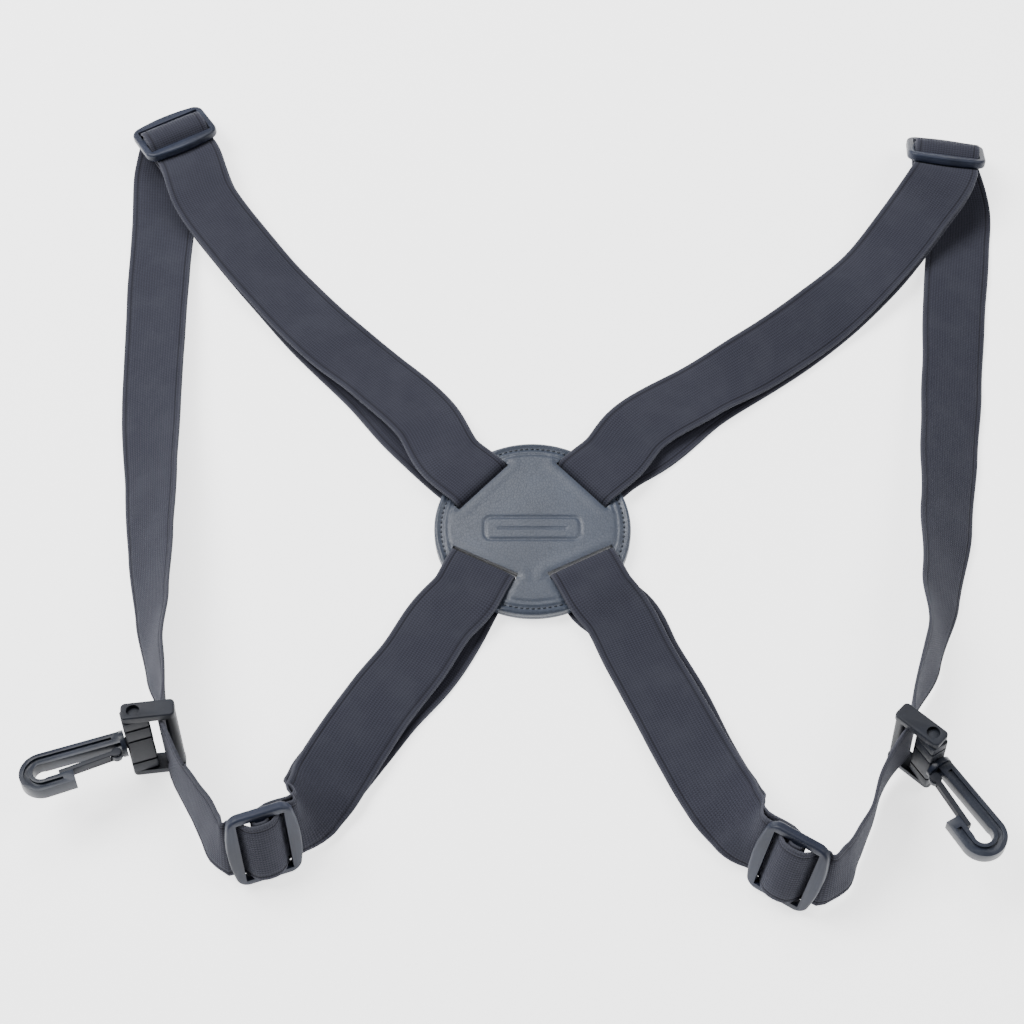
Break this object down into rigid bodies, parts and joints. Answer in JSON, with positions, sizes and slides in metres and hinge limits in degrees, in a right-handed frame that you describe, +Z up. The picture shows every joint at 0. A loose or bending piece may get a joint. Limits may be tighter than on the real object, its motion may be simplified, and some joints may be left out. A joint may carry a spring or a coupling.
{
  "type": "binocular harness",
  "caption": "Elastic X-shaped shoulder harness: a round leather back patch, webbing arms with adjusting sliders, and swivel snap hooks that carry binoculars.",
  "frame": {"origin": "centre of the bounding box, on the plane that the harness lies on", "axes": "+Z up from that plane; +Y towards the upper (shoulder) sliders; +X towards the right-hand clip as laid out"},
  "size_m": [0.3479, 0.3375, 0.0326],
  "materials": {
    "elastic_webbing": "ribbed woven elastic, matt",
    "patch_leather": "smooth blue-black leather, satin",
    "stiffener_board": "plain",
    "sewing_thread": "bonded thread",
    "slider_plastic": "moulded acetal, satin",
    "swivel_plastic": "moulded acetal, satin",
    "hook_plastic": "moulded acetal, semi-gloss",
    "gate_plastic": "moulded acetal, satin"
  },
  "bodies": {
    "harness": {"left_clip_wrap": "elastic_webbing", "left_lower_arm_back": "elastic_webbing", "left_lower_arm_front": "elastic_webbing", "left_lower_patch_loop": "elastic_webbing", "left_shoulder_run": "elastic_webbing", "left_underarm_run": "elastic_webbing", "left_upper_arm_back": "elastic_webbing", "left_upper_arm_front": "elastic_webbing", "left_upper_patch_loop": "elastic_webbing", "patch_back_leather": "patch_leather", "patch_edge_stitching": "sewing_thread", "patch_front_leather": "patch_leather", "patch_stiffener": "stiffener_board", "right_clip_wrap": "elastic_webbing", "right_lower_arm_back": "elastic_webbing", "right_lower_arm_front": "elastic_webbing", "right_lower_patch_loop": "elastic_webbing", "right_shoulder_run": "elastic_webbing", "right_underarm_run": "elastic_webbing", "right_upper_arm_back": "elastic_webbing", "right_upper_arm_front": "elastic_webbing", "right_upper_patch_loop": "elastic_webbing"},
    "left_upper_slider": {"left_upper_slider": "slider_plastic", "left_upper_slider_wrap": "elastic_webbing", "left_upper_sewn_end": "elastic_webbing", "left_upper_bartack": "sewing_thread"},
    "left_lower_slider": {"left_lower_slider": "slider_plastic", "left_lower_slider_wrap": "elastic_webbing", "left_lower_sewn_end": "elastic_webbing", "left_lower_bartack": "sewing_thread"},
    "left_clip_loop": {"left_clip_loop": "swivel_plastic"},
    "left_swivel_block": {"left_swivel_block": "swivel_plastic"},
    "left_snap_hook": {"left_snap_hook": "hook_plastic"},
    "left_gate": {"left_gate": "gate_plastic"},
    "right_upper_slider": {"right_upper_slider": "slider_plastic", "right_upper_slider_wrap": "elastic_webbing", "right_upper_sewn_end": "elastic_webbing", "right_upper_bartack": "sewing_thread"},
    "right_lower_slider": {"right_lower_slider": "slider_plastic", "right_lower_slider_wrap": "elastic_webbing", "right_lower_sewn_end": "elastic_webbing", "right_lower_bartack": "sewing_thread"},
    "right_clip_loop": {"right_clip_loop": "swivel_plastic"},
    "right_swivel_block": {"right_swivel_block": "swivel_plastic"},
    "right_snap_hook": {"right_snap_hook": "hook_plastic"},
    "right_gate": {"right_gate": "gate_plastic"}
  },
  "joints": [
    {"name": "left_upper_adjust", "type": "slide", "parent": "harness", "child": "left_upper_slider", "axis": [-0.5, 0.866, 0], "range_m": [-0.01, 0.01], "deforming": ["left_upper_arm_front", "left_upper_arm_back", "left_shoulder_run"]},
    {"name": "left_lower_adjust", "type": "slide", "parent": "harness", "child": "left_lower_slider", "axis": [-0.9392, -0.3434, 0], "range_m": [-0.01, 0.01], "deforming": ["left_lower_arm_front", "left_lower_arm_back", "left_underarm_run"]},
    {"name": "left_loop_tilt", "type": "hinge", "parent": "harness", "child": "left_clip_loop", "pos_m": [-0.1264, -0.1138, 0.01624], "axis": [0, 0.2307, 0.973], "range_deg": [-25, 25]},
    {"name": "left_block_pivot", "type": "hinge", "parent": "left_clip_loop", "child": "left_swivel_block", "pos_m": [-0.1377, -0.1153, 0.0166], "axis": [0, 0.2307, 0.973], "range_deg": [-60, 60]},
    {"name": "left_hook_swivel", "type": "hinge", "parent": "left_swivel_block", "child": "left_snap_hook", "pos_m": [-0.1377, -0.1153, 0.0166], "axis": [-0.941, -0.3294, 0.0781], "continuous": true},
    {"name": "left_gate_hinge", "type": "hinge", "parent": "left_snap_hook", "child": "left_gate", "pos_m": [-0.1442, -0.1213, 0.01802], "axis": [0, 0.2307, 0.973], "range_deg": [-9, 0], "stiffness_Nm_per_rad": 0.02, "springref_deg": 5.73},
    {"name": "right_upper_adjust", "type": "slide", "parent": "harness", "child": "right_upper_slider", "axis": [0.1736, 0.9848, 0], "range_m": [-0.01, 0.01], "deforming": ["right_upper_arm_front", "right_upper_arm_back", "right_shoulder_run"]},
    {"name": "right_lower_adjust", "type": "slide", "parent": "harness", "child": "right_lower_slider", "axis": [0.8514, -0.5245, 0], "range_m": [-0.01, 0.01], "deforming": ["right_lower_arm_front", "right_lower_arm_back", "right_underarm_run"]},
    {"name": "right_loop_tilt", "type": "hinge", "parent": "harness", "child": "right_clip_loop", "pos_m": [0.11049, -0.11289, 0.01561], "axis": [-0.0803, 0.0803, 0.9935], "range_deg": [-25, 25]},
    {"name": "right_block_pivot", "type": "hinge", "parent": "right_clip_loop", "child": "right_swivel_block", "pos_m": [0.1185, -0.1209, 0.0169], "axis": [-0.0803, 0.0803, 0.9935], "range_deg": [-60, 60]},
    {"name": "right_hook_swivel", "type": "hinge", "parent": "right_swivel_block", "child": "right_snap_hook", "pos_m": [0.1185, -0.1209, 0.0169], "axis": [0.5106, -0.8527, 0.1102], "continuous": true},
    {"name": "right_gate_hinge", "type": "hinge", "parent": "right_snap_hook", "child": "right_gate", "pos_m": [0.11961, -0.12975, 0.0177], "axis": [0.0803, -0.0803, -0.9935], "range_deg": [-9, 0], "stiffness_Nm_per_rad": 0.02, "springref_deg": 5.73}
  ]
}
